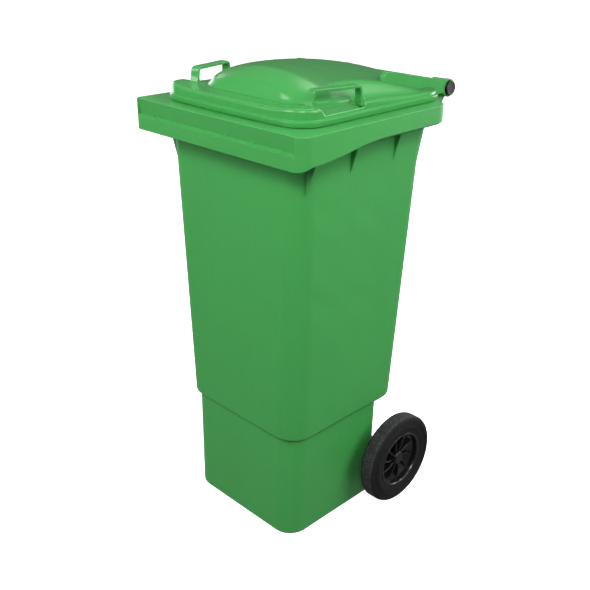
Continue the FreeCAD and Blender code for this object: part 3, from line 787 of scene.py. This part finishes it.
def dome_side(x, y):
    """Height of the dome's sloping sides, carried on above and below them."""
    low = np.full(x.shape, -0.6)
    high = np.full(x.shape, 1.5)
    for _ in range(22):
        share = (low + high) / 2.0
        within = inside_of(x, y, share) > 0.0
        low = np.where(within, share, low)
        high = np.where(within, high, share)
    return DOME_LOW_Z + (DOME_HIGH_Z - DOME_LOW_Z) * (low + high) / 2.0


def crown(x, y):
    """Height of the domed top."""
    away = y - CROWN_PEAK_Y
    fall = np.where(away < 0.0, CROWN_FORWARD, CROWN_BACK)
    return CROWN_TOP - CROWN_ACROSS * x * x - fall * away * away


def scoop_floor(x, y):
    """Floor of the finger recess beside a handle: it dips to a low edge in the wall and rises at its ends."""
    out = smooth_step((np.abs(x) - SCOOP_IN) / (LID[0] - SCOOP_IN))
    ends = np.maximum(np.maximum(SCOOP_FRONT - y, y - SCOOP_REAR), 0.0)
    inward = np.maximum(SCOOP_IN - np.abs(x), 0.0)
    return SCOOP_FLOOR - (SCOOP_FLOOR - SCOOP_EDGE) * out + (ends + inward) * SCOOP_SLOPE


def lid_height(x, y):
    """Height of the lid's upper surface before its shoulder is rounded."""
    dome = smooth_min(dome_side(x, y), crown(x, y), RIDGE_SOFT)
    top = smooth_max(deck_height(x, y), dome, BASE_SOFT)
    return smooth_min(top, scoop_floor(x, y), SCOOP_SOFT)


def bowed(points):
    """Bends the lid's front edge, which bulges a little in the middle."""
    moved = points.copy()
    near = 1.0 - rise(points[:, 1], (LID[2], LID_BOW_RUN))
    moved[:, 1] += LID_BOW * near * (points[:, 0] / LID_BOW_HALF) ** 2
    return moved


def square_loop(cells):
    """Rows and columns of the points round a square grid's edge, in order."""
    loop = [(0, column) for column in range(cells)]
    loop += [(row, cells) for row in range(cells)]
    loop += [(cells, column) for column in range(cells, 0, -1)]
    loop += [(row, 0) for row in range(cells, 0, -1)]
    return loop


def spread_grid(edge, cells, middle):
    """Points of a square grid, spread from its middle out to its edge points."""
    half = cells // 2
    size = cells + 1
    grid = np.zeros((size, size, 3))
    for row in range(size):
        for column in range(size):
            along = (row - half) / half
            across = (column - half) / half
            reach = max(abs(across), abs(along))
            if reach == 0.0:
                grid[row, column, :2] = middle
                continue
            edge_row = half + (along / reach) * half
            edge_column = half + (across / reach) * half
            row_low = int(math.floor(edge_row + 1e-9))
            column_low = int(math.floor(edge_column + 1e-9))
            row_high = min(row_low + 1, cells)
            column_high = min(column_low + 1, cells)
            down = edge_row - row_low
            right = edge_column - column_low
            rim = edge[row_low, column_low] * (1 - down) * (1 - right)
            rim = rim + edge[row_high, column_low] * down * (1 - right)
            rim = rim + edge[row_low, column_high] * (1 - down) * right
            rim = rim + edge[row_high, column_high] * down * right
            grid[row, column, :2] = middle + (rim - middle) * reach
    return grid


def lid_shell():
    """The lid's skin: lip, wall, rounded shoulder, deck, finger recesses and dome."""
    side = 100
    corner = 24

    def plan_at(inset):
        return bowed(outline(LID, inset, side, corner, even=True))

    lip = outline(LID, 0.0, side, corner, even=True)
    count = len(lip)
    wall_foot = LIP_TOP + LIP_RISE
    guide = wall_foot + 2.4
    rings = soften([ring(plan_at(0.0), LID_BOTTOM), ring(plan_at(0.0), LIP_TOP),
                    ring(plan_at(LIP_STEP), wall_foot), ring(plan_at(LIP_STEP), guide)],
                   (0.0, 0.9, 0.6, 0.0))[:-1]
    inner = plan_at(LIP_STEP + 1.0)
    top = lid_height(inner[:, 0], inner[:, 1])
    shoulder = np.clip(top - wall_foot - SHOULDER_GAP, SHOULDER_LEAST, SHOULDER)
    for share in np.linspace(0.0, 1.0, 9)[:-1]:
        turn = share * math.pi / 2.0
        points = plan_at(LIP_STEP)
        towards = plan_at(LIP_STEP + 1.0) - points
        points = points + towards * (shoulder * (1.0 - math.cos(turn)))[:, None]
        height = lid_height(points[:, 0], points[:, 1]) - shoulder * (1.0 - math.sin(turn))
        rings.append(ring(points, height))
    edge_points = plan_at(LIP_STEP) + (plan_at(LIP_STEP + 1.0) - plan_at(LIP_STEP)) * shoulder[:, None]

    # The grid inside the shoulder joins the last ring: its squares' corners lie at the corner arcs' middles.
    cells = side + corner
    start = corner // 2
    middle = np.array((0.0, (LID[2] + LID[3]) / 2.0))
    size = cells + 1
    loop = square_loop(cells)
    edge = np.zeros((size, size, 2))
    for index, (row, column) in enumerate(loop):
        edge[row, column] = edge_points[(index + start) % count]
    grid = spread_grid(edge, cells, middle)
    grid[:, :, 2] = lid_height(grid[:, :, 0], grid[:, :, 1])
    ring_points = np.vstack(rings)
    faces = ring_faces(count, len(rings))
    base = len(ring_points)
    last = base - count
    for index, (row, column) in enumerate(loop):
        next_row, next_column = loop[(index + 1) % len(loop)]
        here = last + (index + start) % count
        after = last + (index + 1 + start) % count
        faces.append((here, after, base + next_row * size + next_column, base + row * size + column))
    for row in range(cells):
        for column in range(cells):
            corner_index = base + row * size + column
            faces.append((corner_index, corner_index + 1, corner_index + size + 1, corner_index + size))
    points = np.vstack((ring_points, grid.reshape(-1, 3)))
    made = piece("lid_shell", points, faces, "lid", LID_GREEN, flat_edges=False)
    # Marks the domed top behind its front ridge: the grained zone whose colour the lid's material darkens as
    # painted shade
    spots = np.array([vertex.co for vertex in made.data.vertices]) / MM
    under = dome_side(spots[:, 0], spots[:, 1]) - crown(spots[:, 0], spots[:, 1])
    behind = smooth_step((spots[:, 1] - CROWN_SHADE_FROM) / 12.0)
    zone = smooth_step(under / 3.0) * behind * (spots[:, 2] > LIP_TOP)
    made.data.attributes.new("crown", "FLOAT", "POINT").data.foreach_set("value", zone.astype(np.float32))
    thick = made.modifiers.new("thick", "SOLIDIFY")
    thick.thickness = LID_WALL * MM
    thick.offset = -1.0
    weight_normals(made)
    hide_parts("lid")


def strap_handles():
    """Loop handles, each bent from one flat strap with flared feet."""
    bends = [np.array([[0.0, y, z]]) for y, z in HANDLE_BENDS]
    path = np.vstack(between(soften(bends, (0.0, HANDLE_BEND_R, HANDLE_BEND_R, 0.0), 8), 2.5))
    run = np.concatenate(([0.0], np.cumsum(np.linalg.norm(np.diff(path, axis=0), axis=1))))
    tangent = np.gradient(path, axis=0)
    tangent /= np.linalg.norm(tangent, axis=1, keepdims=True)
    normal = np.column_stack((np.zeros(len(path)), -tangent[:, 2], tangent[:, 1]))
    corner = HANDLE_CORNER
    turn = np.linspace(0.0, 2.0 * np.pi, 24, endpoint=False) + np.pi / 24.0
    for side, sign in SIDES.items():
        angle = sign * math.radians(HANDLE_SPLAY)
        across = np.array((math.cos(angle), -math.sin(angle), 0.0))
        along = np.array((math.sin(angle), math.cos(angle), 0.0))
        rings = []
        for point, out, at in zip(path, normal, run):
            spread = 1.0 - rise(min(at, run[-1] - at), HANDLE_FLARE_RUN)
            half_wide = HANDLE_HALF_WIDE + HANDLE_FLARE[0] * spread
            half_thick = HANDLE_HALF_THICK + HANDLE_FLARE[1] * spread
            wide = np.sign(np.cos(turn)) * (half_wide - corner) + np.cos(turn) * corner
            thick = np.sign(np.sin(turn)) * (half_thick - corner) + np.sin(turn) * corner
            centre = np.array((sign * HANDLE_FOOT[0], HANDLE_FOOT[1], point[2])) + along * point[1]
            outward = along * out[1] + np.array((0.0, 0.0, out[2]))
            rings.append(centre + wide[:, None] * across + thick[:, None] * outward)
        lofted(f"lid_handle_{side}", rings, "lid", LID_GREEN)


def hinge_rails():
    """Rails on the dome's sides that run back to the hinge eyes."""
    nose = {"left": [(84.0, 898.0), (86.0, 910.0), (93.0, 915.5), (101.0, 914.4)],
            "right": [(36.0, 902.0), (38.0, 920.0), (46.0, 926.0), (54.0, 924.6)]}
    section = [(183.0, 898.8), (242.0, 890.2), (256.0, 884.0), (256.0, 862.0), (236.0, 857.0),
               (222.0, 864.6), (183.0, 864.6), (179.0, 880.0), (100.0, 886.0)]
    radii = (1.0, 6.0, 5.0, 20.0, 40.0, 12.0, 12.0, 12.0, 8.0, 4.0, 6.0, 6.0, 10.0)
    for side, sign in SIDES.items():
        low, high = span(sign, *RAIL_SPAN)
        shape = nose[side] + section
        plate(f"lid_rail_{side}", shape, radii, low, high, "lid", "green_plastic_lid", LID_GREEN, 2.0)
        eye = [(low, PIN_HOLE_R), (low, EYE_R), (high, EYE_R), (high, PIN_HOLE_R)]
        turned(f"lid_eye_{side}", eye, (0.6, 2.0, 2.0, 0.6), "lid", LID_GREEN,
               (HINGE_Y, HINGE_Z), segments=96)


# Hinge pins, wheels and axle

def hinge_pins():
    """Black pins with round, slightly dished heads."""
    profile = [(60.0, 0.0), (60.0, 7.0), (142.3, 7.0), (142.3, 14.5), (146.3, 14.5), (146.3, 11.6),
               (145.6, 11.0), (145.6, 0.0)]
    radii = (0.0, 1.4, 0.0, 0.8, 1.6, 0.6, 0.4, 0.0)
    for side, sign in SIDES.items():
        made = turned(f"pin_{side}", mirrored(sign, profile), radii, "bin", PIN_BLACK,
                      (HINGE_Y, HINGE_Z), closed=False, segments=96)
        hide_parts(f"hinge_pin_{side}")


def tyres():
    """Solid tyres with a flat tread, rounded shoulders and fine rings on the sidewalls."""
    middle = (WHEEL_IN + WHEEL_OUT) / 2.0
    half = (WHEEL_OUT - WHEEL_IN) / 2.0
    wall = [(half - 8.5, WHEEL_R), (half - 4.4, WHEEL_R - 1.7), (half - 1.2, WHEEL_R - 6.2),
            (half - 0.4, WHEEL_R - 10.5)]
    for groove in TYRE_GROOVES:
        radius = WHEEL_R - groove
        wall += [(half, radius + GROOVE_HALF), (half - GROOVE_DEEP, radius), (half, radius - GROOVE_HALF)]
    wall += [(half, 75.0), (half - 1.6, 68.0), (half - 2.5, SEAT_R)]
    radii = [3.0, 3.0, 3.0, 2.0] + [0.3, 0.3, 0.3] * len(TYRE_GROOVES) + [3.0, 2.0, 0.6]
    outward = [(middle + x, radius) for x, radius in wall]
    inward = [(middle - x, radius) for x, radius in reversed(wall)]
    profile = outward + inward
    radii = radii + radii[::-1]
    for side, sign in SIDES.items():
        made = turned(f"rubber_tyre_{side}", mirrored(sign, profile), radii, f"wheel_{side}",
                      TYRE)
        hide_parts(f"tyre_{side}")


def spoke_mesh(sign, angle):
    """Points and faces of one slightly leaning spoke at an angle round the wheel."""
    rings = []
    for share in np.linspace(0.0, 1.0, 13):
        radius = HUB_R - 2.0 + (BARREL_R + 1.0 - HUB_R + 2.0) * share
        lean = math.radians(angle) + math.radians(SPOKE_LEAN) * share
        out = WHEEL_OUT - SPOKE_FACE + SPOKE_BULGE * math.sin(math.pi * share) - SPOKE_FALL * share
        low = SPOKE_BACK + SPOKE_BACK_RISE * rise(radius, SPOKE_BACK_RUN)
        half = SPOKE_HALF + SPOKE_ROOT * (1.0 - share)
        turn = np.array((0.0, math.cos(lean), -math.sin(lean)))
        centre = np.array((0.0, AXLE_Y + radius * math.sin(lean), AXLE_Z + radius * math.cos(lean)))
        section = [(low, -half), (out - 1.0, -half), (out - 0.3, -half * 0.72), (out, -half * 0.25),
                   (out, half * 0.25), (out - 0.3, half * 0.72), (out - 1.0, half), (low, half)]
        rings.append(np.array([centre + np.array((sign * x, 0.0, 0.0)) + turn * t for x, t in section]))
    count = len(rings[0])
    faces = ring_faces(count, len(rings)) + end_caps(count, len(rings))
    return np.vstack(rings), faces


def wheel_rims():
    """Black moulded wheels: barrel with a raised lip, back web, leaning spokes and hub."""
    barrel = [(183.6, 57.5), (200.0, 55.6), (216.5, 57.5), (219.4, 59.0), (219.4, 62.8), (216.8, 62.0),
              (185.2, 62.0), (183.0, 62.8), (183.0, 59.0)]
    web = [(188.2, 12.5), (190.8, 12.5), (191.2, 35.0), (207.0, 56.8), (207.0, 58.5), (188.2, 58.5)]
    hub = [(178.2, 10.1), (212.2, 10.1), (212.2, 13.0), (211.2, 14.0), (193.0, 14.6), (178.2, 14.0)]
    cap = [(209.0, 0.0), (209.0, 9.9), (212.4, 9.9), (212.4, 12.9), (214.2, 12.6), (215.0, 11.2),
           (215.0, 0.0)]
    for side, sign in SIDES.items():
        body = f"wheel_{side}"

        def rim_part(name, profile, radii):
            return turned(f"{name}_{side}", mirrored(sign, profile), radii, body, RIM_BLACK)

        made = rim_part("rim_barrel", barrel, (2.0, 30.0, 3.0, 1.2, 1.2, 0.8, 0.8, 1.0, 1.2))
        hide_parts(f"wheel_rim_{side}")
        rim_part("rim_web", web, (0.0, 0.0, 26.0, 0.0, 0.0, 0.0))
        rim_part("rim_hub", hub, (0.4, 0.4, 0.5, 0.8, 2.0, 0.8))
        points = []
        faces = []
        for index in range(SPOKES):
            spoke_points, spoke_faces = spoke_mesh(sign, 360.0 / SPOKES * (index + 0.5))
            base = sum(len(group) for group in points)
            points.append(spoke_points)
            faces += [tuple(base + corner for corner in face) for face in spoke_faces]
        piece(f"rim_spokes_{side}", np.vstack(points), faces, body, RIM_BLACK)
        made = turned(f"centre_cap_{side}", mirrored(sign, cap), (0.0, 0.8, 0.0, 0.6, 0.8, 0.9, 0.0), body,
                      CAP_BLACK, closed=False, segments=96)
        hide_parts(f"hub_cap_{side}")


def catch_housings():
    """Boxes on the hubs that hold the wheel catches and their springs. They are open towards the bin."""
    top = AXLE_Z + CATCH_POCKET_TOP
    foot = AXLE_Z + HUB_R - HOUSING_SINK
    for side, sign in SIDES.items():
        low, high = [np.array(corner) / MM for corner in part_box(f"wheel_catch_{side}")]
        outer = max(abs(low[0]), abs(high[0])) + HOUSING_CLEAR
        back = outer + HOUSING_WALL
        gap = (high[1] - low[1]) / 2.0 + HOUSING_CLEAR
        cheek = gap + HOUSING_WALL
        lap = gap + HOUSING_LAP
        walls = {
            "front": (-cheek, -gap, foot, top + HOUSING_WALL, HOUSING_IN, back),
            "rear": (gap, cheek, foot, top + HOUSING_WALL, HOUSING_IN, back),
            "top": (-lap, lap, top, top + HOUSING_WALL, HOUSING_IN, back),
            "face": (-lap, lap, foot, top + HOUSING_LAP, outer, back),
        }
        for name, (y0, y1, z0, z1, x0, x1) in walls.items():
            section = [(AXLE_Y + y0, z0), (AXLE_Y + y1, z0), (AXLE_Y + y1, z1), (AXLE_Y + y0, z1)]
            plate(f"catch_housing_{side}_{name}", section, (0.2,) * 4, *span(sign, x0, x1),
                  f"wheel_{side}", "rim_plastic", RIM_BLACK, 0.3)


def catch_springs():
    """Coil springs above the wheel catches, each wound to fill the imported spring's box."""
    for side in SIDES:
        low, high = [np.array(corner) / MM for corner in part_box(f"catch_spring_{side}")]
        middle = (low + high) / 2.0
        wire = SPRING_WIRE / 2.0
        coil = (high[0] - low[0]) / 2.0 - wire
        height = high[2] - low[2]
        rings = []
        for share in np.linspace(0.0, 1.0, int(SPRING_TURNS * 24) + 1):
            angle = 2.0 * math.pi * SPRING_TURNS * share
            out = np.array((math.cos(angle), math.sin(angle), 0.0))
            rise = low[2] + wire + (height - 2.0 * wire) * share
            centre = np.array((middle[0], middle[1], rise)) + out * coil
            round_wire = np.linspace(0.0, 2.0 * np.pi, 10, endpoint=False)
            rings.append(centre + np.cos(round_wire)[:, None] * out * wire
                         + np.sin(round_wire)[:, None] * np.array((0.0, 0.0, wire)))
        made = lofted(f"spring_coil_{side}", rings, f"wheel_{side}", STEEL)
        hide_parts(f"catch_spring_{side}")
        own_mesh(made)


def finish_frame_nodes():
    """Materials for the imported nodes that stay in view."""
    finishes = {"axle": STEEL, "axle_spacer": CAP_BLACK, "wheel_catch": CAP_BLACK, "lid_buffers": TYRE}
    for name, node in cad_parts.items():
        kind = name.removesuffix("_left").removesuffix("_right")
        if kind in finishes:
            node.data.materials.clear()
            node.data.materials.append(finishes[kind])


# Stage, light and camera

def stage():
    """Pale paper floor that turns up into a far wall, a sky brighter overhead, and soft studio lights."""
    paper, nodes, links, surface, place = new_shader("studio_paper")
    fibres = noise_node(nodes, links, place, scale=3.0, detail=4.0)
    tint = mix_node(nodes, links, fibres, (0.90, 0.90, 0.90, 1.0), (0.93, 0.93, 0.93, 1.0))
    links.new(tint, surface.inputs["Base Color"])
    links.new(tint, surface.inputs["Emission Color"])
    surface.inputs["Emission Strength"].default_value = PAPER_GLOW
    surface.inputs["Roughness"].default_value = 0.95
    surface.inputs["Specular IOR Level"].default_value = 0.1
    angles = np.linspace(0.0, 2.0 * np.pi, PAPER_SIDES, endpoint=False)
    around = np.column_stack((np.sin(angles), np.cos(angles)))
    rings = [np.column_stack((around * reach, np.full(PAPER_SIDES, height)))
             for reach, height in PAPER_PROFILE]
    faces = ring_faces(PAPER_SIDES, len(rings)) + [tuple(range(PAPER_SIDES))]
    mesh = bpy.data.meshes.new("studio_paper")
    mesh.from_pydata([tuple(point) for point in np.vstack(rings)], [], faces)
    mesh.materials.append(paper)
    floor = bpy.data.objects.new("studio_paper", mesh)
    bpy.context.scene.collection.objects.link(floor)
    floor.visible_diffuse = False
    floor.visible_glossy = False
    floor.visible_shadow = False
    world = bpy.data.worlds.new("studio")
    world.use_nodes = True
    nodes = world.node_tree.nodes
    links = world.node_tree.links
    parts = nodes.new("ShaderNodeSeparateXYZ")
    links.new(nodes.new("ShaderNodeTexCoord").outputs["Generated"], parts.inputs["Vector"])
    sky = ramp_node(nodes, links, parts.outputs["Z"], 0.05, 0.75, SKY_LOW, SKY_HIGH)
    ground = ramp_node(nodes, links, parts.outputs["Z"], -0.6, 0.05, SKY_GROUND, 0.0)
    links.new(math_node(nodes, links, "ADD", sky, ground), nodes["Background"].inputs["Strength"])
    nodes["Background"].inputs["Color"].default_value = (1.0, 1.0, 1.0, 1.0)
    bpy.context.scene.world = world
    for name, azimuth, elevation, distance, width, height, watts in LAMPS:
        lamp = bpy.data.lights.new(name, "AREA")
        lamp.shape = "RECTANGLE"
        lamp.size = width
        lamp.size_y = height
        lamp.energy = watts
        holder = bpy.data.objects.new(name, lamp)
        bpy.context.scene.collection.objects.link(holder)
        turn, lift = math.radians(azimuth), math.radians(elevation)
        away = Vector((math.sin(turn) * math.cos(lift), -math.cos(turn) * math.cos(lift), math.sin(lift)))
        holder.location = LAMP_AIM + away * distance
        holder.rotation_euler = (-away).to_track_quat("-Z", "Y").to_euler()


def camera():
    """Camera in front and to the right, looking down on the lid."""
    lens = bpy.data.cameras.new("camera")
    lens.lens = LENS
    lens.sensor_width = SENSOR_WIDTH
    lens.clip_end = CAMERA_REACH
    holder = bpy.data.objects.new("camera", lens)
    bpy.context.scene.collection.objects.link(holder)
    holder.location = CAMERA_PLACE
    holder.rotation_euler = Euler([math.radians(angle) for angle in CAMERA_TURN])
    bpy.context.scene.camera = holder


camera()
bin_moulding()
gussets()
comb_ribs()
rear_brackets()
axle_lugs()
lid_shell()
strap_handles()
hinge_rails()
hinge_pins()
tyres()
wheel_rims()
catch_housings()
catch_springs()
finish_frame_nodes()
stage()
bpy.context.scene.view_settings.view_transform = "Standard"
